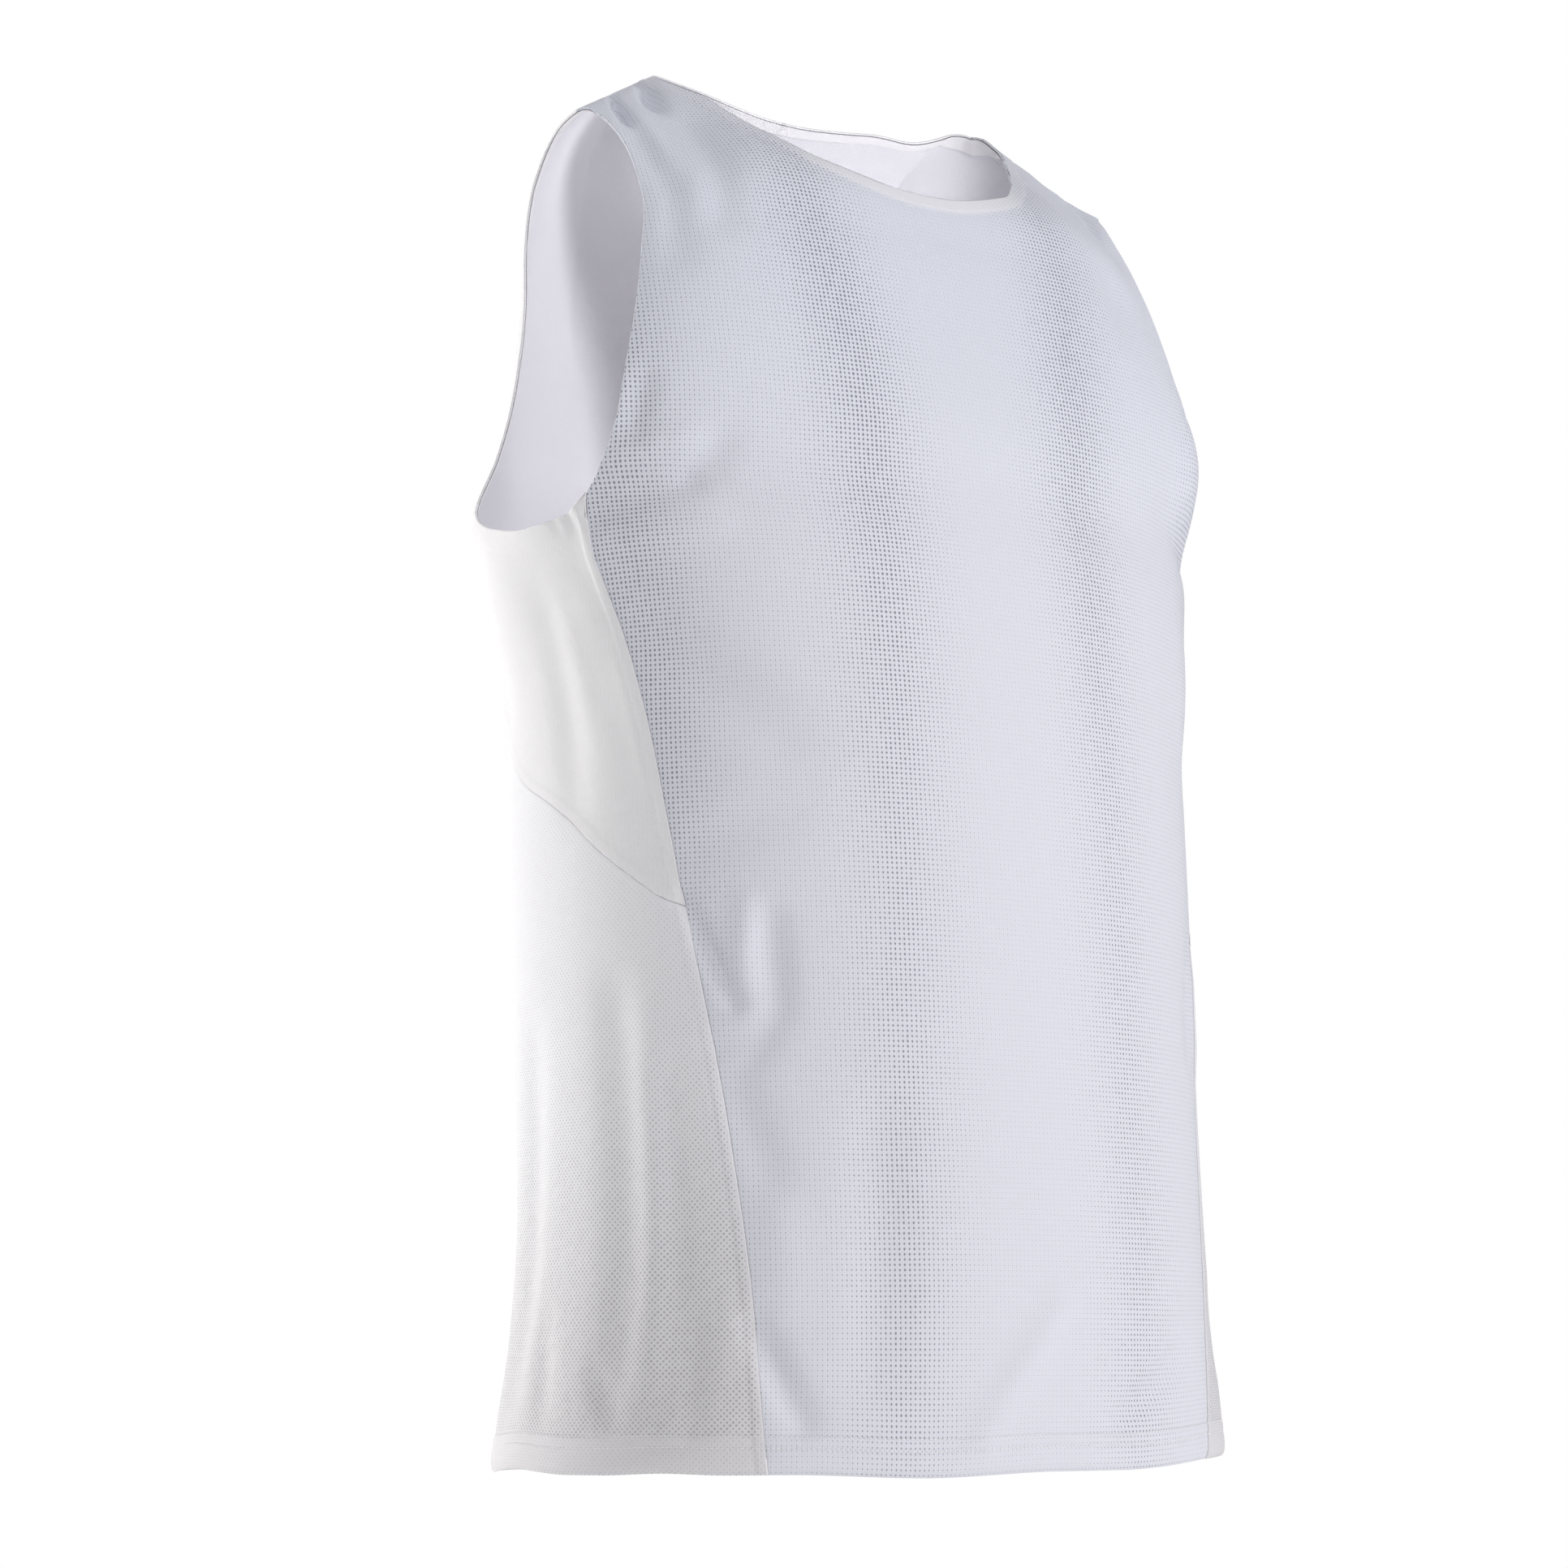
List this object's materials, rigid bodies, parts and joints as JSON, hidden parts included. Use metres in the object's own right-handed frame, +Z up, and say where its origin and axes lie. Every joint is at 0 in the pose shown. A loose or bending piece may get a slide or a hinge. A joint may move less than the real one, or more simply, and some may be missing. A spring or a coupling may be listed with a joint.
{
  "type": "running singlet",
  "caption": "Sleeveless running singlet, filled out as worn, with a mesh front, a smooth back yoke and a mesh lower back.",
  "frame": {"origin": "midway between the two neck points of the shoulders, where the wearer's shoulders carry the garment", "axes": "+Z up, front towards -Y, the wearer's left towards +X"},
  "size_m": [0.3928, 0.2891, 0.716],
  "materials": {
    "front_mesh": "pale ice-grey eyelet knit, matte with a slight sheen",
    "yoke_knit": "white smooth fine knit, matte",
    "back_mesh": "white staggered eyelet mesh, matte",
    "tape": "white bonded tape, matte"
  },
  "bodies": {
    "root": {"front_panel": "front_mesh", "back_yoke": "yoke_knit", "back_mesh_panel": "back_mesh", "neck_tape": "tape", "armhole_tape_left": "tape", "armhole_tape_right": "tape"}
  },
  "joints": []
}
